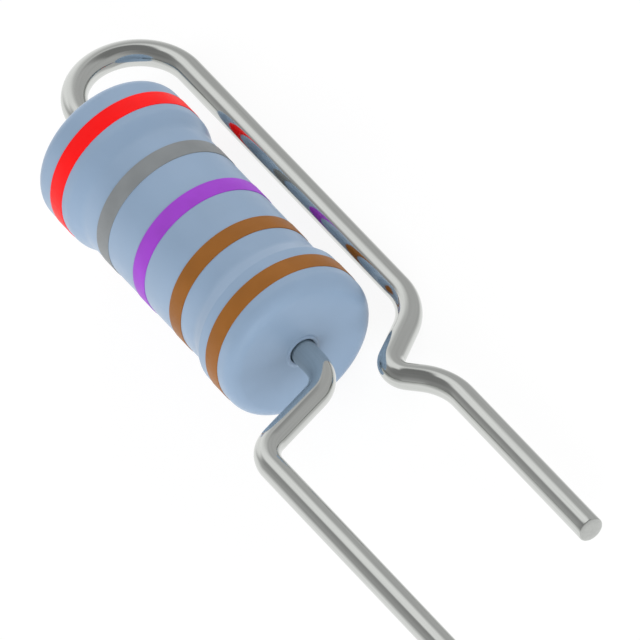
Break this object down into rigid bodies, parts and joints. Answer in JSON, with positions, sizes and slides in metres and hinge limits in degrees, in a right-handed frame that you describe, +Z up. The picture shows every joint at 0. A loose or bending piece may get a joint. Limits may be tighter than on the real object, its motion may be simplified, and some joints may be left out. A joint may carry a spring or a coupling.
{
  "type": "axial resistor",
  "caption": "Film resistor with a waisted, lacquered body and colour bands, its leads formed for upright mounting, one turned back beside the body.",
  "frame": {"origin": "middle of the object's box on the surface that it lies on", "axes": "+X along the body's axis towards the lead tips, +Z up; the body lies on its end bulges and leans on the returning lead, which is on the +Y side"},
  "size_m": [0.027, 0.0064, 0.005],
  "materials": {
    "alumina_ceramic": "fired ceramic, matt",
    "nickel_chromium_film": "sputtered metal film",
    "plated_steel": "pressed and tin plated",
    "tinned_copper": "drawn and hot tinned, bright",
    "blue_lacquer": "dipped and baked lacquer, satin",
    "red_ink": "printed band, satin",
    "grey_ink": "printed band, satin",
    "violet_ink": "printed band, satin",
    "brown_ink": "printed band, satin"
  },
  "bodies": {
    "root": {"ceramic_core": "alumina_ceramic", "resistive_film": "nickel_chromium_film", "hairpin_end_cap": "plated_steel", "kinked_end_cap": "plated_steel", "hairpin_lead": "tinned_copper", "kinked_lead": "tinned_copper", "lacquer_coat": "blue_lacquer", "red_band": "red_ink", "grey_band": "grey_ink", "violet_band": "violet_ink", "first_brown_band": "brown_ink", "last_brown_band": "brown_ink"}
  },
  "joints": []
}
